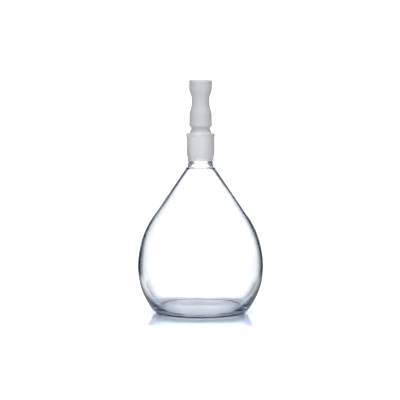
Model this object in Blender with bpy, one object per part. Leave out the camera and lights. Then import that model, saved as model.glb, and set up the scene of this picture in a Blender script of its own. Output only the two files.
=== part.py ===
"""Specific-gravity bottle of the Gay-Lussac pattern, nominally 100 ml.

A pear-shaped blown bulb stands on a pushed-up base. A ground socket is flame-sealed on its
shoulder, and a waisted stopper with a capillary bore lifts straight out of the socket.
Metres, +Z up along the axis of revolution, origin at the middle of the ring the bottle stands on.
"""

import math

import bmesh
import bpy

# Bulb
BODY_RADIUS = 0.0293  # widest outer radius
BODY_HEIGHT = 0.0684  # base to the weld seam
BELLY_HEIGHT = 0.02177  # base to the widest level
CONE_ANGLE = math.radians(34.2)  # shoulder cone, from the vertical
WALL = 0.0012  # side wall at the belly
SHOULDER_WALL = 0.0009  # side wall at the top of the shoulder cone
THROAT_RADIUS = 0.0051  # bore where the bulb meets the neck
THROAT_DROP = 0.0004  # weld seam down to where the throat opens into the shoulder cone
WELD_RADIUS = 0.0059  # outer radius at the weld seam, where the glass is pinched in
LEDGE_WIDTH = 0.0009  # how far the bulb steps out just below the seam
LEDGE_DROP = 0.0005  # height of that step
SHOULDER_RADIUS = 0.0073  # outer radius at the top of the shoulder cone
SHOULDER_DROP = 0.0015  # weld seam down to the top of the shoulder cone
FOOT_RADIUS = 0.0198  # outer edge of the contact ring
FOOT_WIDTH = 0.0016  # flat width of the contact ring
HEEL_RADIUS = 0.0026  # rounding from the contact ring into the side
PUNT = 0.0006  # rise of the pushed-up base at the middle
FLOOR_THICKNESS = 0.0017  # glass over the contact ring
FLOOR_MIDDLE = 0.0012  # glass at the middle of the base
FLOOR_EDGE_RADIUS = 0.0168  # where the inner floor starts to curve up into the wall
FLOOR_ROUND = 0.0054  # rounding from the inner floor into the wall

# Ground joint, 1 in 10 on the diameter
JOINT_RADIUS = 0.0050  # bore at the lip
GROUND_LENGTH = 0.0126  # ground length, down from the lip
NECK_LENGTH = 0.0024  # clear neck between the ground length and the weld
TAPER = 0.05  # bore radius lost per unit of depth
SOCKET_WALL = 0.00150  # wall at the lip
NECK_WALL = 0.00170  # wall of the clear neck
LIP_BEAD = 0.0002  # how far the fire-polished lip stands out
LIP_ROUND = 0.0006  # rounding of the lip
BEAD_LENGTH = 0.0009  # below that rounding, back in to the tube
SWELL_DEPTH = 0.0097  # lip to the step from the socket tube to the neck
SWELL_LENGTH = 0.0014  # length of that step
PINCH_LENGTH = 0.0006  # height over which the neck draws in to the weld seam

# Stopper, heights counted from the lip
CONE_DEPTH = 0.01086  # ground cone below the lip
CONE_RISE = 0.0007  # ground cone above the lip
GROOVE_RADIUS = 0.0043
GROOVE_HEIGHT = 0.0020  # foot of the straight part of the groove
GROOVE_LENGTH = 0.0004  # height of that straight part
COLLAR_RADIUS = 0.00516
COLLAR_BEAD = 0.00012  # extra radius of the bead at the foot of the collar
COLLAR_HEIGHT = 0.0044  # top of that bead
COLLAR_LENGTH = 0.00523
WAIST_RADIUS = 0.00412
WAIST_HEIGHT = 0.01498  # middle of the waist
WAIST_LENGTH = 0.0022
HEAD_RADIUS = 0.00528
HEAD_HEIGHT = 0.0247  # flat top of the stopper
HEAD_LENGTH = 0.00382
HEAD_ROUND = 0.0005
BORE_RADIUS = 0.0005  # capillary through the stopper

# Fits
SEAM_GAP = 0.0003  # bulb to socket, along the axis
CONE_GAP = 0.0003  # ground cone to ground socket, on the radius

# Mesh
SEGMENTS = 48
MERGE_DISTANCE = 1e-6
SHARP_ANGLE = math.radians(40)

SOCKET_FOOT = BODY_HEIGHT + SEAM_GAP
LIP_HEIGHT = SOCKET_FOOT + NECK_LENGTH + GROUND_LENGTH


def arc(centre, radius, start, end, steps):
    """Points (radius, height) of a round stretch between two angles in degrees, 0 pointing out."""
    turns = [math.radians(start + (end - start) * i / steps) for i in range(steps + 1)]
    return [(centre[0] + radius * math.cos(t), centre[1] + radius * math.sin(t)) for t in turns]


def blend(start, end, steps):
    """Points of an S-curve that leaves and arrives along the axis, like half a cosine wave."""
    (r0, z0), (r1, z1) = start, end
    shares = [i / steps for i in range(steps + 1)]
    return [
        (r0 + (r1 - r0) * (1 - math.cos(math.pi * s)) / 2, z0 + (z1 - z0) * s) for s in shares
    ]


def dome(edge_radius, edge_height, rise, steps):
    """Points of a shallow dome, from its edge to its middle on the axis."""
    shares = [1 - i / steps for i in range(steps + 1)]
    return [
        (edge_radius * s, edge_height + rise * (1 + math.cos(math.pi * s)) / 2) for s in shares
    ]


def bore_radius_at(depth):
    """Radius of the ground bore at a depth below the lip; the clear neck keeps the last value."""
    return JOINT_RADIUS - TAPER * min(depth, GROUND_LENGTH)


def flank(widest, foot_radius, foot_round, foot_height, shoulder, steps):
    """Side of the bulb, from the shoulder down to the edge of its foot.

    A straight cone touches an upper arc, which passes the widest level into a lower arc, and
    that one touches the rounding of the foot. Both large radii follow from those tangencies.
    """
    lean_out, lean_up = math.cos(CONE_ANGLE), math.sin(CONE_ANGLE)
    reach = (shoulder[1] - BELLY_HEIGHT) * lean_up - (widest - shoulder[0]) * lean_out
    upper = reach / (1 - lean_out)
    inset, drop = foot_radius - widest, BELLY_HEIGHT - foot_height - foot_round
    lower = (foot_round**2 - inset**2 - drop**2) / (2 * (inset + foot_round))
    foot_centre = (foot_radius, foot_height + foot_round)
    meet = math.degrees(math.atan2(-drop, foot_radius - widest + lower))
    return [
        shoulder,
        *arc((widest - upper, BELLY_HEIGHT), upper, math.degrees(CONE_ANGLE), 0, steps),
        *arc((widest - lower, BELLY_HEIGHT), lower, 0, meet, steps)[1:],
        *arc(foot_centre, foot_round, meet, -90, steps // 2)[1:],
    ]


def bulb_outline():
    """Half section of the bulb: up the inside, over the weld face and down the outside."""
    shoulder = (SHOULDER_RADIUS, BODY_HEIGHT - SHOULDER_DROP)
    climb = SHOULDER_DROP - THROAT_DROP
    inner_edge = (
        shoulder[0] - climb * math.tan(CONE_ANGLE) - SHOULDER_WALL / math.cos(CONE_ANGLE),
        shoulder[1] + climb,
    )
    outside = flank(BODY_RADIUS, FOOT_RADIUS, HEEL_RADIUS, 0.0, shoulder, 8)
    inside = flank(
        BODY_RADIUS - WALL, FLOOR_EDGE_RADIUS, FLOOR_ROUND, FLOOR_THICKNESS, inner_edge, 8
    )
    floor = dome(FLOOR_EDGE_RADIUS, FLOOR_THICKNESS, PUNT + FLOOR_MIDDLE - FLOOR_THICKNESS, 6)
    underside = dome(FOOT_RADIUS - FOOT_WIDTH, 0.0, PUNT, 6)
    ledge_foot = (WELD_RADIUS + LEDGE_WIDTH, BODY_HEIGHT - LEDGE_DROP)
    ledge = blend((WELD_RADIUS, BODY_HEIGHT), ledge_foot, 4)
    throat = [(THROAT_RADIUS, BODY_HEIGHT)]
    return floor[::-1] + inside[::-1][1:] + throat + ledge + outside + underside


def socket_outline():
    """Half section of the socket: down the outside, across the weld face and up the bore."""
    lip = JOINT_RADIUS + SOCKET_WALL
    bore = bore_radius_at(GROUND_LENGTH)
    neck = bore + NECK_WALL
    bead = lip + LIP_BEAD
    bead_top = LIP_HEIGHT - LIP_ROUND
    swell = LIP_HEIGHT - SWELL_DEPTH
    return [
        *arc((bead - LIP_ROUND, bead_top), LIP_ROUND, 90, 0, 3),
        *blend((bead, bead_top), (lip, bead_top - BEAD_LENGTH), 3)[1:],
        *blend((lip, swell), (neck, swell - SWELL_LENGTH), 4),
        *blend((neck, SOCKET_FOOT + PINCH_LENGTH), (WELD_RADIUS, SOCKET_FOOT), 3),
        *blend((THROAT_RADIUS, SOCKET_FOOT), (bore, LIP_HEIGHT - GROUND_LENGTH), 4),
        (JOINT_RADIUS, LIP_HEIGHT),
    ]


def stopper_outline():
    """Half section of the stopper, heights from the lip: down the outside and up the bore."""
    collar_top = COLLAR_HEIGHT + COLLAR_LENGTH
    bead = COLLAR_RADIUS + COLLAR_BEAD
    waist_top = WAIST_HEIGHT + WAIST_LENGTH / 2
    waist_foot = WAIST_HEIGHT - WAIST_LENGTH / 2
    cone_top = bore_radius_at(-CONE_RISE) - CONE_GAP
    cone_foot = JOINT_RADIUS - TAPER * CONE_DEPTH - CONE_GAP
    groove_top = (GROOVE_RADIUS, GROOVE_HEIGHT + GROOVE_LENGTH)
    return [
        *arc((HEAD_RADIUS - HEAD_ROUND, HEAD_HEIGHT - HEAD_ROUND), HEAD_ROUND, 90, 0, 3),
        *blend((HEAD_RADIUS, HEAD_HEIGHT - HEAD_LENGTH), (WAIST_RADIUS, waist_top), 6),
        *blend((WAIST_RADIUS, waist_foot), (COLLAR_RADIUS, collar_top - WAIST_LENGTH / 2), 6),
        (COLLAR_RADIUS, COLLAR_HEIGHT + COLLAR_BEAD),
        *blend((bead, COLLAR_HEIGHT - COLLAR_BEAD), groove_top, 5),
        *blend((GROOVE_RADIUS, GROOVE_HEIGHT), (cone_top, CONE_RISE), 4),
        (cone_foot, -CONE_DEPTH),
        (BORE_RADIUS, -CONE_DEPTH),
        (BORE_RADIUS, HEAD_HEIGHT),
    ]


def glass(name, colour, roughness, alpha):
    """A Principled glass: its colour, how matt it is and how much shows through."""
    material = bpy.data.materials.new(name)
    material.use_nodes = True
    shader = material.node_tree.nodes["Principled BSDF"]
    shader.inputs["Base Color"].default_value = (*colour, 1.0)
    shader.inputs["Roughness"].default_value = roughness
    shader.inputs["Metallic"].default_value = 0.0
    shader.inputs["Transmission Weight"].default_value = 1.0 - alpha
    shader.inputs["IOR"].default_value = 1.47
    return material


def turned(name, outline, finish, closed=True):
    """Spin a half section once round the axis into one closed, smooth-shaded solid."""
    bm = bmesh.new()
    verts = [bm.verts.new((r, 0.0, z)) for r, z in outline]
    ends = verts[1:] + verts[:1] if closed else verts[1:]
    edges = [bm.edges.new(pair) for pair in zip(verts, ends)]
    bmesh.ops.spin(
        bm,
        geom=verts + edges,
        cent=(0.0, 0.0, 0.0),
        axis=(0.0, 0.0, 1.0),
        angle=math.tau,
        steps=SEGMENTS,
        use_merge=True,
    )
    bmesh.ops.remove_doubles(bm, verts=bm.verts, dist=MERGE_DISTANCE)
    bmesh.ops.recalc_face_normals(bm, faces=bm.faces)
    mesh = bpy.data.meshes.new(name)
    bm.to_mesh(mesh)
    bm.free()
    mesh.materials.append(finish)
    mesh.shade_smooth()
    mesh.set_sharp_from_angle(angle=SHARP_ANGLE)
    solid = bpy.data.objects.new(name, mesh)
    bpy.context.scene.collection.objects.link(solid)
    return solid


def lip_marker():
    """Empty at the middle of the lip, on the line that the stopper lifts along."""
    marker = bpy.data.objects.new("stopper_axis", None)
    marker.location = (0.0, 0.0, LIP_HEIGHT)
    bpy.context.scene.collection.objects.link(marker)
    return marker


def main():
    for old in list(bpy.data.objects):
        bpy.data.objects.remove(old)
    clear_glass = glass("clear_glass", (0.93, 0.96, 0.98), 0.02, 0.25)
    socket_glass = glass("ground_socket_glass", (0.86, 0.88, 0.90), 0.35, 0.50)
    stopper_glass = glass("ground_stopper_glass", (0.72, 0.72, 0.73), 0.55, 0.85)
    turned("bulb", bulb_outline(), clear_glass, closed=False)
    turned("ground_socket", socket_outline(), socket_glass)
    stopper = turned("capillary_stopper", stopper_outline(), stopper_glass)
    stopper.parent = lip_marker()


main()
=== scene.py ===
"""Looks of a stoppered specific gravity bottle: blown bulb, ground socket and capillary stopper.

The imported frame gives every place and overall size. Each piece of glass is a surface of
revolution: a half section of (radius, height) points carried once round the upright axis.
"""

import logging
import math
from dataclasses import dataclass, field
from enum import Enum

import bpy
import numpy as np
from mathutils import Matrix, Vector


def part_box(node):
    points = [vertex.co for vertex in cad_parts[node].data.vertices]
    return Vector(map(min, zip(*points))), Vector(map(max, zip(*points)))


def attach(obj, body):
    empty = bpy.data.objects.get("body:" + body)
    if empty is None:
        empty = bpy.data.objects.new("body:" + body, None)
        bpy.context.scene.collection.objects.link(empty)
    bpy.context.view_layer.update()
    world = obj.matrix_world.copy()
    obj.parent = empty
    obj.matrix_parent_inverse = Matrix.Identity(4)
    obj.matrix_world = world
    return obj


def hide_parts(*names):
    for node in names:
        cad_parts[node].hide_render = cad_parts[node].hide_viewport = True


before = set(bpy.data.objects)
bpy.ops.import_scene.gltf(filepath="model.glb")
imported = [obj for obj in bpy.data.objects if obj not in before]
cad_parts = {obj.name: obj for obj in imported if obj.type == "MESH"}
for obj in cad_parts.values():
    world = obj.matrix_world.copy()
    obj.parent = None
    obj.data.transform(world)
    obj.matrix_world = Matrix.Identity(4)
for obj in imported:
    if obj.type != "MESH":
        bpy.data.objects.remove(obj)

LOG = logging.getLogger("bottle")
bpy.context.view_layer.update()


class Zone(Enum):
    """Stretches of a glass surface that are finished differently."""

    POLISHED = "polished"
    GROUND = "ground"
    SATIN = "satin"
    BORE = "bore"


# ---------------------------------------------------------------------------------------------
# Half sections and the surfaces turned from them
# ---------------------------------------------------------------------------------------------


def arc(centre: tuple[float, float], radius: float, start: float, end: float, count: int) -> np.ndarray:
    """Round stretch of a half section.

    Formula: the point at angle t lies at centre + radius * (cos t, sin t).

    Args:
        centre: radius and height of the arc's middle.
        radius: radius of the arc.
        start: first angle in degrees, 0 pointing away from the axis and 90 up.
        end: last angle in degrees.
        count: number of points.

    Returns:
        The points, one (radius, height) row each.
    """
    turn = np.radians(np.linspace(start, end, count))
    return np.column_stack([centre[0] + radius * np.cos(turn), centre[1] + radius * np.sin(turn)])


def blend(start: tuple[float, float], end: tuple[float, float], count: int) -> np.ndarray:
    """S-shaped stretch that leaves and arrives parallel to the axis.

    Formula: height runs evenly, and radius follows half a cosine wave of it.

    Args:
        start: first point.
        end: last point.
        count: number of points.

    Returns:
        The points, one (radius, height) row each.
    """
    share = np.linspace(0.0, 1.0, count)
    ease = (1.0 - np.cos(np.pi * share)) / 2.0
    return np.column_stack([start[0] + (end[0] - start[0]) * ease, start[1] + (end[1] - start[1]) * share])


def line(start: tuple[float, float], end: tuple[float, float], count: int) -> np.ndarray:
    """Straight stretch with evenly spaced points.

    Args:
        start: first point.
        end: last point.
        count: number of points.

    Returns:
        The points, one (radius, height) row each.
    """
    return np.linspace(start, end, count)


def dome(radius: float, edge: float, middle: float, count: int) -> np.ndarray:
    """Shallow dome from its edge in to the axis.

    Formula: height runs from edge to middle as half a cosine wave of the radius.

    Args:
        radius: radius of the edge.
        edge: height of the edge.
        middle: height on the axis.
        count: number of points.

    Returns:
        The points, one (radius, height) row each, the last one on the axis.
    """
    share = np.linspace(1.0, 0.0, count)
    return np.column_stack([radius * share, edge + (middle - edge) * (1.0 + np.cos(np.pi * share)) / 2.0])


@dataclass
class Section:
    """Half section of a turned piece, gathered stretch by stretch, and the zone of each stretch."""

    points: list[np.ndarray] = field(default_factory=list)
    zones: list[np.ndarray] = field(default_factory=list)

    def add(self, stretch: np.ndarray, zone: Zone = Zone.POLISHED) -> "Section":
        """Append a stretch; the step that leads up to it takes its zone too.

        Args:
            stretch: points, one (radius, height) row each.
            zone: how this stretch is finished.

        Returns:
            The section itself, so that calls can follow one another.
        """
        if self.points and np.allclose(self.points[-1][-1], stretch[0], atol=1e-7):
            stretch = stretch[1:]
        self.points.append(stretch)
        self.zones.append(np.full(len(stretch), list(Zone).index(zone)))
        return self


@dataclass(frozen=True)
class Waviness:
    """Slow wander of a hand-worked surface round the axis and along it."""

    depth: float = 0.0
    length: float = 0.02

    def offset(self, turn: np.ndarray, height: np.ndarray) -> np.ndarray:
        """How far the surface stands out at each point.

        Formula: the sum of three cosines, each of a whole number of waves round the axis and
        of its own wavelength along it, scaled so that the sum stays within the depth.

        Args:
            turn: angles round the axis, as a row.
            height: heights, as a column.

        Returns:
            Offsets for every height and angle.
        """
        along = 2.0 * np.pi * height / self.length
        waves = np.cos(2.0 * turn + 0.55 * along + 0.4) + 0.7 * np.cos(3.0 * turn - along + 2.1)
        return self.depth * (waves + 0.5 * np.cos(5.0 * turn + 1.6 * along)) / 2.2


def turned(name: str, section: Section, finishes: dict[Zone, bpy.types.Material], segments: int,
           closed: bool, waviness: Waviness | None = None, wavy: np.ndarray | None = None) -> bpy.types.Object:
    """Carry a half section once round the axis and make the surface an object.

    Formula: the point at height row i and angle column j lies at
    (r_i cos a_j, r_i sin a_j, z_i), with r_i widened by the waviness where wavy is not 0.

    Args:
        name: name of the piece.
        section: half section, running so that the glass lies to its right.
        finishes: material of each zone that occurs.
        segments: number of steps round the axis.
        closed: whether the half section is a loop clear of the axis; otherwise it starts and
            ends on the axis, and its two poles are closed with fans.
        waviness: slow wander of the surface.
        wavy: share of the waviness that each point of the section takes.

    Returns:
        The finished object, at the origin.
    """
    points = np.vstack(section.points)
    zones = np.concatenate(section.zones)
    turn = np.linspace(0.0, 2.0 * np.pi, segments, endpoint=False)[None, :]
    radius, height = points[:, :1], points[:, 1:]
    if waviness is not None and wavy is not None:
        radius = radius + wavy[:, None] * waviness.offset(turn, height)
    grid = np.stack([radius * np.cos(turn), radius * np.sin(turn), height + 0.0 * turn], axis=-1)
    rows = len(points)
    index = np.arange(rows * segments).reshape(rows, segments)
    if closed:
        lower, upper, ring_zone = index, np.roll(index, -1, axis=0), np.roll(zones, -1)
    else:
        index = index - (segments - 1)
        index[0], index[-1] = 0, index[-2, -1] + 1
        lower, upper, ring_zone = index[1:-2], index[2:-1], zones[2:-1]
        grid = np.vstack([grid[0, :1], grid[1:-1].reshape(-1, 3), grid[-1, :1]])
    quads = np.stack([lower, upper, np.roll(upper, -1, axis=1), np.roll(lower, -1, axis=1)], axis=-1)
    faces = quads.reshape(-1, 4).tolist()
    face_zone = np.repeat(ring_zone, segments)
    if not closed:
        first, last = index[1], index[-2]
        faces += np.column_stack([np.zeros(segments, int), first, np.roll(first, -1)]).tolist()
        faces += np.column_stack([last, np.full(segments, index[-1, 0]), np.roll(last, -1)]).tolist()
        face_zone = np.concatenate([face_zone, np.repeat([zones[1], zones[-1]], segments)])
    mesh = bpy.data.meshes.new(name)
    mesh.from_pydata(grid.reshape(-1, 3), [], faces)
    used = [zone for zone in Zone if zone in finishes]
    slots = {list(Zone).index(zone): place for place, zone in enumerate(used)}
    for zone in used:
        mesh.materials.append(finishes[zone])
    mesh.polygons.foreach_set("material_index", np.array([slots[z] for z in face_zone.tolist()], np.int32))
    mesh.polygons.foreach_set("use_smooth", np.ones(len(faces), bool))
    mesh.update()
    mesh.validate()
    piece = bpy.data.objects.new(name, mesh)
    bpy.context.scene.collection.objects.link(piece)
    return piece


# ---------------------------------------------------------------------------------------------
# Finishes
# ---------------------------------------------------------------------------------------------


def shader_of(material: bpy.types.Material) -> tuple[bpy.types.NodeTree, bpy.types.Node]:
    """Node tree and Principled shader of a new material.

    Args:
        material: the new material.

    Returns:
        Its node tree and its Principled shader.
    """
    material.use_nodes = True
    tree = material.node_tree
    return tree, tree.nodes["Principled BSDF"]


def add_node(tree: bpy.types.NodeTree, kind: str, inputs: dict | None = None, **settings: object) -> bpy.types.Node:
    """Make one node and set it up.

    Args:
        tree: node tree that it goes in.
        kind: Blender's type name of the node.
        inputs: values of its input sockets, by socket name or number.
        settings: values of its other properties.

    Returns:
        The new node.
    """
    node = tree.nodes.new(kind)
    for key, value in settings.items():
        setattr(node, key, value)
    for key, value in (inputs or {}).items():
        node.inputs[key].default_value = value
    return node


def noise_of(tree: bpy.types.NodeTree, scale: float, detail: float, roughness: float = 0.5) -> bpy.types.Node:
    """Noise on object coordinates, in waves per metre.

    Args:
        tree: node tree that it goes in.
        scale: waves per metre.
        detail: number of finer octaves.
        roughness: weight of the finer octaves.

    Returns:
        The noise node.
    """
    place = add_node(tree, "ShaderNodeTexCoord")
    noise = add_node(tree, "ShaderNodeTexNoise", {"Scale": scale, "Detail": detail, "Roughness": roughness})
    tree.links.new(place.outputs["Object"], noise.inputs["Vector"])
    return noise


def bump_from(tree: bpy.types.NodeTree, height: bpy.types.NodeSocket, distance: float, shader: bpy.types.Node) -> None:
    """Let a height pattern tilt a shader's surface.

    Args:
        tree: node tree that holds both.
        height: socket that gives the height, 0 to 1.
        distance: real height of the pattern, in metres.
        shader: Principled shader that takes the normal.
    """
    bump = add_node(tree, "ShaderNodeBump", {"Strength": 1.0, "Distance": distance})
    tree.links.new(height, bump.inputs["Height"])
    tree.links.new(bump.outputs["Normal"], shader.inputs["Normal"])


@dataclass(frozen=True)
class PolishedGlass:
    """Clear borosilicate glass, fire-polished, with the faint ripple of a blown wall."""

    name: str = "polished_glass"
    index: float = 1.473
    roughness: float = 0.0
    ripple_height: float = 0.000004
    ripples_per_metre: float = 90.0
    body_colour: tuple[float, float, float] = (0.08, 0.19, 0.36)
    density: float = 50.0

    def material(self) -> bpy.types.Material:
        """Build the material: clear, faintly rippled, and tinted by its thickness.

        Returns:
            The material.
        """
        material = bpy.data.materials.new(self.name)
        tree, shader = shader_of(material)
        shader.inputs["Base Color"].default_value = (1.0, 1.0, 1.0, 1.0)
        shader.inputs["Transmission Weight"].default_value = 1.0
        shader.inputs["Roughness"].default_value = self.roughness
        shader.inputs["IOR"].default_value = self.index
        ripple = noise_of(tree, self.ripples_per_metre, 2.0)
        bump_from(tree, ripple.outputs["Fac"], self.ripple_height, shader)
        body = add_node(tree, "ShaderNodeVolumeAbsorption", {"Color": (*self.body_colour, 1.0), "Density": self.density})
        tree.links.new(body.outputs["Volume"], tree.nodes["Material Output"].inputs["Volume"])
        return material


@dataclass(frozen=True)
class GroundGlass:
    """Glass whose surface was ground or blasted matt; light comes through it scattered."""

    name: str
    colour: tuple[float, float, float]
    transmission: float
    roughness_low: float
    roughness_high: float
    grains_per_metre: float
    grain_height: float
    index: float = 1.473

    def material(self) -> bpy.types.Material:
        """Build the material: cloudy roughness, with a fine grain over it.

        Returns:
            The material.
        """
        material = bpy.data.materials.new(self.name)
        tree, shader = shader_of(material)
        shader.inputs["Base Color"].default_value = (*self.colour, 1.0)
        shader.inputs["Transmission Weight"].default_value = self.transmission
        shader.inputs["IOR"].default_value = self.index
        cloud = noise_of(tree, self.grains_per_metre / 12.0, 3.0)
        spread = add_node(tree, "ShaderNodeMapRange", {"From Min": 0.3, "From Max": 0.7,
                          "To Min": self.roughness_low, "To Max": self.roughness_high})
        tree.links.new(cloud.outputs["Fac"], spread.inputs["Value"])
        tree.links.new(spread.outputs["Result"], shader.inputs["Roughness"])
        grain = noise_of(tree, self.grains_per_metre, 3.0, 0.6)
        bump_from(tree, grain.outputs["Fac"], self.grain_height, shader)
        return material


# ---------------------------------------------------------------------------------------------
# Pieces
# ---------------------------------------------------------------------------------------------


def flank(widest: float, belly: float, cone: float, shoulder: tuple[float, float],
          foot: tuple[float, float], foot_round: float, count: int) -> np.ndarray:
    """Side of the bulb, from the shoulder down to the edge of its foot.

    Formula: a straight cone touches an upper arc, which passes the widest level into a lower
    arc, and that one touches the rounding of the foot. Both large radii follow from the
    tangencies.

    Args:
        widest: largest radius.
        belly: height of the widest level.
        cone: angle of the shoulder cone from the vertical, in degrees.
        shoulder: point where the cone starts.
        foot: point where the rounding of the foot runs out flat.
        foot_round: radius of that rounding.
        count: points on each large arc.

    Returns:
        The points from the shoulder down, one (radius, height) row each.
    """
    lean_out, lean_up = math.cos(math.radians(cone)), math.sin(math.radians(cone))
    upper = ((shoulder[1] - belly) * lean_up - (widest - shoulder[0]) * lean_out) / (1.0 - lean_out)
    inset, drop = foot[0] - widest, belly - foot[1] - foot_round
    lower = (foot_round**2 - inset**2 - drop**2) / (2.0 * (inset + foot_round))
    meet = math.degrees(math.atan2(-drop, foot[0] - widest + lower))
    top_arc = arc((widest - upper, belly), upper, cone, 0.0, count)
    return np.vstack([
        line(shoulder, tuple(top_arc[0]), count)[:-1],
        top_arc,
        arc((widest - lower, belly), lower, 0.0, meet, count)[1:],
        arc((foot[0], foot[1] + foot_round), foot_round, meet, -90.0, count // 2)[1:],
    ])


@dataclass
class Bulb:
    """Blown pear-shaped body on a pushed-up base."""

    belly: float = 0.02177
    cone: float = 34.2
    wall: float = 0.0012
    throat: float = 0.0051
    throat_drop: float = 0.0004
    rim: float = 0.0059
    ledge: float = 0.0009
    ledge_drop: float = 0.0005
    shoulder: float = 0.0073
    shoulder_drop: float = 0.0015
    shoulder_wall: float = 0.0009
    foot: float = 0.0198
    foot_width: float = 0.0016
    heel: float = 0.0026
    punt: float = 0.0006
    floor: float = 0.0017
    floor_edge: float = 0.0168
    floor_round: float = 0.0054
    floor_middle: float = 0.0012
    wavy_low: float = 0.004
    wavy_high: float = 0.062
    wavy_ease: float = 0.01
    segments: int = 240
    waviness: Waviness = Waviness(depth=0.00006, length=0.045)

    def section(self) -> Section:
        """Half section: up the inside, over the weld face, down the outside and under the base.

        Returns:
            The half section, from axis to axis.
        """
        low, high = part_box("bulb")
        widest, top = high.x, high.z
        shoulder = (self.shoulder, top - self.shoulder_drop)
        cone = math.radians(self.cone)
        fall = shoulder[1] - top + self.throat_drop
        inner_radius = shoulder[0] + fall * math.tan(cone) - self.shoulder_wall / math.cos(cone)
        inner_top = (inner_radius, top - self.throat_drop)
        inner_foot = (self.floor_edge, self.floor)
        inside = flank(widest - self.wall, self.belly, self.cone, inner_top, inner_foot, self.floor_round, 40)
        outside = flank(widest, self.belly, self.cone, shoulder, (self.foot, low.z), self.heel, 40)
        floor = dome(self.floor_edge, self.floor, self.punt + self.floor_middle, 30)
        under = dome(self.foot - self.foot_width, low.z, self.punt, 30)
        section = Section().add(floor[::-1]).add(inside[::-1])
        section.add(line(inner_top, (self.throat, top), 6))
        section.add(line((self.throat, top), (self.rim, top), 6))
        ledge_foot = (self.rim + self.ledge, top - self.ledge_drop)
        section.add(blend((self.rim, top), ledge_foot, 14))
        return section.add(outside).add(under)

    def build(self, finish: bpy.types.Material) -> bpy.types.Object:
        """Make the bulb and put it on its body.

        Args:
            finish: clear glass.

        Returns:
            The bulb.
        """
        section = self.section()
        points = np.vstack(section.points)
        height = points[:, 1]
        rise = np.clip((height - self.wavy_low) / self.wavy_ease, 0.0, 1.0)
        reach = rise * np.clip((self.wavy_high - height) / self.wavy_ease, 0.0, 1.0)
        inner = np.arange(len(points)) < int(np.argmax(height))
        piece = turned("blown_bulb", section, {Zone.POLISHED: finish}, self.segments, False,
                       self.waviness, reach * inner)
        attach(piece, "flask")
        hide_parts("bulb")
        return piece


@dataclass
class GroundSocket:
    """Short tube sealed on the bulb, with a fire-polished lip and a ground taper inside."""

    bore: float = 0.00434
    throat: float = 0.0051
    mouth: float = 0.0050
    ground_length: float = 0.0126
    wall: float = 0.0015
    neck_wall: float = 0.0017
    bead: float = 0.0002
    lip_round: float = 0.0006
    mouth_round: float = 0.0002
    swell_depth: float = 0.0097
    swell_length: float = 0.0014
    taper: float = 0.05
    bead_tail: float = 0.0015
    pinch: float = 0.00014
    pinch_height: float = 0.0006
    weld_overlap: float = 0.00002
    segments: int = 192

    def section(self) -> Section:
        """Half section: down the outside, across the weld face and up the bore.

        Returns:
            The half section, a closed loop.
        """
        low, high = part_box("ground_socket")
        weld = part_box("bulb")[1].z - self.weld_overlap
        lip, neck = self.mouth + self.wall, self.bore + self.neck_wall
        edge, top = lip + self.bead, high.z
        swell, ground_foot = top - self.swell_depth, top - self.ground_length
        section = Section()
        section.add(arc((edge - self.lip_round, top - self.lip_round), self.lip_round, 90.0, 0.0, 12), Zone.SATIN)
        section.add(blend((edge, top - self.lip_round), (lip, top - self.bead_tail), 10), Zone.SATIN)
        section.add(blend((lip, swell), (neck, swell - self.swell_length), 14), Zone.SATIN)
        section.add(line((neck, swell - self.swell_length), (neck, ground_foot), 6), Zone.SATIN)
        section.add(blend((neck, low.z + self.pinch_height), (neck - self.pinch, weld), 12))
        section.add(blend((self.throat, weld), (self.bore, ground_foot), 12))
        mouth_foot = (self.mouth - self.taper * self.mouth_round, top - self.mouth_round)
        section.add(line((self.bore, ground_foot), mouth_foot, 30), Zone.GROUND)
        middle = (mouth_foot[0] + self.mouth_round, top - self.mouth_round)
        return section.add(arc(middle, self.mouth_round, 180.0, 90.0, 8))

    def build(self, clear: bpy.types.Material, ground: bpy.types.Material,
              frosted: bpy.types.Material) -> bpy.types.Object:
        """Make the socket and put it on its body.

        Args:
            clear: finish of the clear neck.
            ground: finish of the taper.
            frosted: finish of the outside of the tube and of its lip.

        Returns:
            The socket.
        """
        finishes = {Zone.POLISHED: clear, Zone.GROUND: ground, Zone.SATIN: frosted}
        piece = turned("socket_tube", self.section(), finishes, self.segments, True)
        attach(piece, "flask")
        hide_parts("ground_socket")
        return piece


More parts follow.
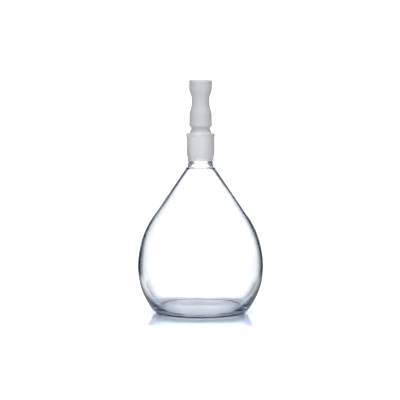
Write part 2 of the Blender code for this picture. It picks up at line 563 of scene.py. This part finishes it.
@dataclass
class CapillaryStopper:
    """Matt stopper: waisted grip, ground cone and a fine bore from end to end."""

    fit: float = 0.00002
    mouth: float = 0.0050
    taper: float = 0.05
    cone_rise: float = 0.0007
    cone_round: float = 0.0002
    groove: float = 0.0043
    groove_height: float = 0.0020
    groove_length: float = 0.0004
    collar: float = 0.00516
    collar_bead: float = 0.00012
    bead_above: float = 0.00072
    bead_below: float = 0.00048
    collar_height: float = 0.0044
    collar_length: float = 0.00523
    waist: float = 0.00412
    waist_height: float = 0.01498
    waist_length: float = 0.0022
    head_length: float = 0.00382
    head_round: float = 0.0004
    bore: float = 0.0005
    bore_round: float = 0.0002
    segments: int = 160

    def section(self) -> Section:
        """Half section: down the outside and up the bore.

        Returns:
            The half section, a closed loop.
        """
        low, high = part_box("capillary_stopper")
        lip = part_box("ground_socket")[1].z
        head, top = high.x, high.z
        waist = lip + self.waist_height
        reach = self.waist_length / 2.0
        collar_top = lip + self.collar_height + self.collar_length
        bead = self.collar + self.collar_bead
        bead_height = lip + self.collar_height
        cone_top = self.mouth + self.taper * self.cone_rise - self.fit
        cone_foot = self.mouth - self.taper * (lip - low.z) - self.fit
        section = Section()
        section.add(arc((head - self.head_round, top - self.head_round), self.head_round, 90.0, 0.0, 10), Zone.SATIN)
        section.add(blend((head, top - self.head_length), (self.waist, waist + reach), 26), Zone.SATIN)
        section.add(blend((self.waist, waist - reach), (self.collar, collar_top - reach), 26), Zone.SATIN)
        section.add(blend((self.collar, bead_height + self.bead_above), (bead, bead_height), 6), Zone.SATIN)
        foot = (bead, bead_height - self.bead_below)
        groove_top = (self.groove, lip + self.groove_height + self.groove_length)
        section.add(blend(foot, groove_top, 20), Zone.SATIN)
        section.add(blend((self.groove, lip + self.groove_height), (cone_top, lip + self.cone_rise), 16), Zone.SATIN)
        tip = (cone_foot - self.cone_round, low.z + self.cone_round)
        section.add(line((cone_top, lip + self.cone_rise), (cone_foot, tip[1]), 30), Zone.GROUND)
        section.add(arc(tip, self.cone_round, 0.0, -90.0, 6), Zone.GROUND)
        mouth = (self.bore + self.bore_round, low.z + self.bore_round)
        section.add(arc(mouth, self.bore_round, -90.0, -180.0, 6), Zone.GROUND)
        section.add(line((self.bore, mouth[1]), (self.bore, top - self.bore_round), 20), Zone.BORE)
        upper = (self.bore + self.bore_round, top - self.bore_round)
        return section.add(arc(upper, self.bore_round, 180.0, 90.0, 6), Zone.SATIN)

    def build(self, satin: bpy.types.Material, ground: bpy.types.Material,
              bore: bpy.types.Material) -> bpy.types.Object:
        """Make the stopper and put it on its body.

        Args:
            satin: finish of the grip.
            ground: finish of the cone.
            bore: finish of the capillary.

        Returns:
            The stopper.
        """
        finishes = {Zone.GROUND: ground, Zone.SATIN: satin, Zone.BORE: bore}
        piece = turned("stopper_grip_and_cone", self.section(), finishes, self.segments, True)
        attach(piece, "stopper")
        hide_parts("capillary_stopper")
        return piece


# ---------------------------------------------------------------------------------------------
# Studio
# ---------------------------------------------------------------------------------------------


@dataclass(frozen=True)
class Screen:
    """A white screen round the bottle, given in degrees by the directions that it fills."""

    azimuth: float
    half_width: float
    low: float
    high: float
    strength: float = 1.45


@dataclass
class Studio:
    """Camera, bench top and soft surrounding light; the bench's grey-blue tone, fading out round the base, is painted
    shade.
    """

    distance: float = 1.334
    elevation: float = 6.08
    aim: float = 0.0527
    aside: float = -0.00026
    view_width: float = 0.1856
    bench_radius: float = 0.046
    # painted shade: the bench's grey-blue tone and its fade-out stand in for the soft shade round the base
    shade_fade_from: float = 0.030
    bench_forward: float = 0.013
    bench_shade_colour: tuple[float, float, float] = (0.58, 0.66, 0.79)
    bench_roughness: float = 0.04
    bench_index: float = 2.0
    bench_drop: float = 0.0001
    white: float = 1.45
    grey: tuple[float, float, float] = (0.022, 0.038, 0.068)
    soft_edge: float = 4.0
    screens: tuple[Screen, ...] = (
        Screen(90.0, 13.0, -14.0, 30.0),
        Screen(90.0, 8.0, -28.0, 0.0),
        Screen(180.0, 13.0, -14.0, 30.0),
        Screen(135.0, 14.0, -45.0, -13.0),
        Screen(-45.0, 16.0, -40.0, 0.0),
        Screen(-85.0, 50.0, 14.0, 60.0, 2.2),
        Screen(-97.0, 24.0, -50.0, 14.0, 2.5),
        Screen(0.0, 360.0, -42.0, -13.0, 0.5),
        Screen(0.0, 360.0, -100.0, -38.0, 1.3),
        Screen(0.0, 360.0, 58.0, 100.0, 4.2),
    )

    def place_camera(self) -> None:
        """Put the camera in front of the bottle, looking slightly down at its middle."""
        camera = bpy.data.cameras.new("camera")
        camera.sensor_width = 36.0
        camera.lens = camera.sensor_width * self.distance / self.view_width
        camera.clip_start, camera.clip_end = 0.05, 50.0
        seat = bpy.data.objects.new("camera", camera)
        tilt = math.radians(self.elevation)
        seat.location = (self.aside, -self.distance * math.cos(tilt), self.aim + self.distance * math.sin(tilt))
        seat.rotation_euler = (math.pi / 2.0 - tilt, 0.0, 0.0)
        bpy.context.scene.collection.objects.link(seat)
        bpy.context.scene.camera = seat

    def lay_bench(self) -> bpy.types.Object:
        """Make the small round bench top, which fades out towards its edge; its grey-blue tone, fading out round the
        base, is painted shade over a real floor.

        Returns:
            The bench top.
        """
        turn = np.linspace(0.0, 2.0 * np.pi, 128, endpoint=False)
        rim = np.column_stack([np.cos(turn), np.sin(turn), 0.0 * turn]) * self.bench_radius
        rim[:, 1] -= self.bench_forward
        rim[:, 2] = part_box("bulb")[0].z - self.bench_drop
        mesh = bpy.data.meshes.new("bench_top")
        mesh.from_pydata(rim, [], [list(range(len(rim)))])
        material = bpy.data.materials.new("bench_painted_shade")
        tree, shader = shader_of(material)
        # painted shade: this grey-blue tone stands in for the soft shade round the base; the bench still catches real
        # shadow and reflection
        shader.inputs["Base Color"].default_value = (*self.bench_shade_colour, 1.0)
        shader.inputs["Roughness"].default_value = self.bench_roughness
        shader.inputs["IOR"].default_value = self.bench_index
        place = add_node(tree, "ShaderNodeTexCoord")
        away = add_node(tree, "ShaderNodeVectorMath", operation="DISTANCE")
        away.inputs[1].default_value = (0.0, -self.bench_forward, 0.0)
        tree.links.new(place.outputs["Object"], away.inputs[0])
        # the painted shade fades out towards the bench's edge
        fade = add_node(tree, "ShaderNodeMapRange", {"From Min": self.shade_fade_from, "From Max": self.bench_radius,
                        "To Min": 1.0, "To Max": 0.0}, interpolation_type="SMOOTHSTEP")
        tree.links.new(away.outputs["Value"], fade.inputs["Value"])
        tree.links.new(fade.outputs["Result"], shader.inputs["Alpha"])
        mesh.materials.append(material)
        bench = bpy.data.objects.new("bench_top", mesh)
        bpy.context.scene.collection.objects.link(bench)
        return bench

    def light(self) -> None:
        """Surround the bottle with white screens, grey gaps between them and a lamp overhead."""
        world = bpy.data.worlds.new("studio")
        bpy.context.scene.world = world
        world.use_nodes = True
        tree = world.node_tree
        tree.nodes.clear()
        place = add_node(tree, "ShaderNodeTexCoord")
        axes = add_node(tree, "ShaderNodeSeparateXYZ")
        tree.links.new(place.outputs["Generated"], axes.inputs["Vector"])

        def math_node(operation: str, *sources: object) -> bpy.types.NodeSocket:
            """Add one Math node.

            Args:
                operation: Blender's name of the operation.
                sources: its inputs, as sockets or numbers.

            Returns:
                Its output socket.
            """
            node = add_node(tree, "ShaderNodeMath", operation=operation)
            for place_number, source in enumerate(sources):
                if isinstance(source, (int, float)):
                    node.inputs[place_number].default_value = source
                else:
                    tree.links.new(source, node.inputs[place_number])
            return node.outputs["Value"]

        def ramp(value: bpy.types.NodeSocket, start: float, end: float) -> bpy.types.NodeSocket:
            """Smooth step from 0 at start to 1 at end.

            Args:
                value: socket that is stepped.
                start: value where the step begins.
                end: value where it is complete.

            Returns:
                The step's output socket.
            """
            node = add_node(tree, "ShaderNodeMapRange", {"From Min": start, "From Max": end},
                            interpolation_type="SMOOTHSTEP")
            tree.links.new(value, node.inputs["Value"])
            return node.outputs["Result"]

        azimuth = math_node("ARCTAN2", axes.outputs["Y"], axes.outputs["X"])
        height = math_node("ARCSINE", axes.outputs["Z"])
        soft = math.radians(self.soft_edge)
        glow = math_node("ADD", 0.0, 0.0)
        for screen in self.screens:
            away = math_node("WRAP", math_node("SUBTRACT", azimuth, math.radians(screen.azimuth)), math.pi, -math.pi)
            half, low, high = (math.radians(v) for v in (screen.half_width, screen.low, screen.high))
            side = ramp(math_node("ABSOLUTE", away), half + soft, half - soft)
            level = math_node("MULTIPLY", ramp(height, low - soft, low + soft), ramp(height, high + soft, high - soft))
            cover = math_node("MULTIPLY", math_node("MULTIPLY", side, level), screen.strength)
            glow = math_node("MAXIMUM", glow, cover)
        seen = add_node(tree, "ShaderNodeLightPath").outputs["Is Camera Ray"]
        glow = math_node("MAXIMUM", glow, math_node("MULTIPLY", seen, self.white))
        total = add_node(tree, "ShaderNodeVectorMath", operation="ADD")
        total.inputs[1].default_value = self.grey
        tree.links.new(glow, total.inputs[0])
        back = add_node(tree, "ShaderNodeBackground")
        out = add_node(tree, "ShaderNodeOutputWorld")
        tree.links.new(total.outputs["Vector"], back.inputs["Color"])
        tree.links.new(back.outputs["Background"], out.inputs["Surface"])
        world.cycles.sampling_method = "MANUAL"
        world.cycles.sample_map_resolution = 1024

    def expose(self) -> None:
        """Plain exposure, and enough bounces for light to pass through every wall."""
        scene = bpy.context.scene
        scene.view_settings.view_transform = "Standard"
        scene.view_settings.look = "None"
        scene.cycles.max_bounces = 24
        scene.cycles.transmission_bounces = 20
        scene.cycles.glossy_bounces = 12
        scene.cycles.diffuse_bounces = 6
        scene.cycles.caustics_reflective = True
        scene.cycles.caustics_refractive = True


def main() -> None:
    """Build the pieces and the studio."""
    logging.basicConfig(level=logging.INFO, format="%(name)s: %(message)s")
    clear = PolishedGlass().material()
    plain = PolishedGlass(name="socket_tube_glass", density=4.0).material()
    ground = GroundGlass("ground_taper_glass", (0.97, 0.97, 0.97), 0.50, 0.50, 0.65, 9000.0, 0.00001).material()
    frosted = GroundGlass("frosted_tube_glass", (0.80, 0.80, 0.80), 0.92, 0.50, 0.60, 6000.0, 0.00001).material()
    satin = GroundGlass("satin_grip_glass", (0.49, 0.49, 0.49), 0.30, 0.50, 0.62, 6000.0, 0.00001).material()
    bore = PolishedGlass(name="capillary_bore_glass", density=0.0).material()
    pieces = [
        Bulb().build(clear),
        GroundSocket().build(plain, ground, frosted),
        CapillaryStopper().build(satin, ground, bore),
    ]
    studio = Studio()
    studio.place_camera()
    studio.lay_bench()
    studio.light()
    studio.expose()


if __name__ == "__main__":
    main()
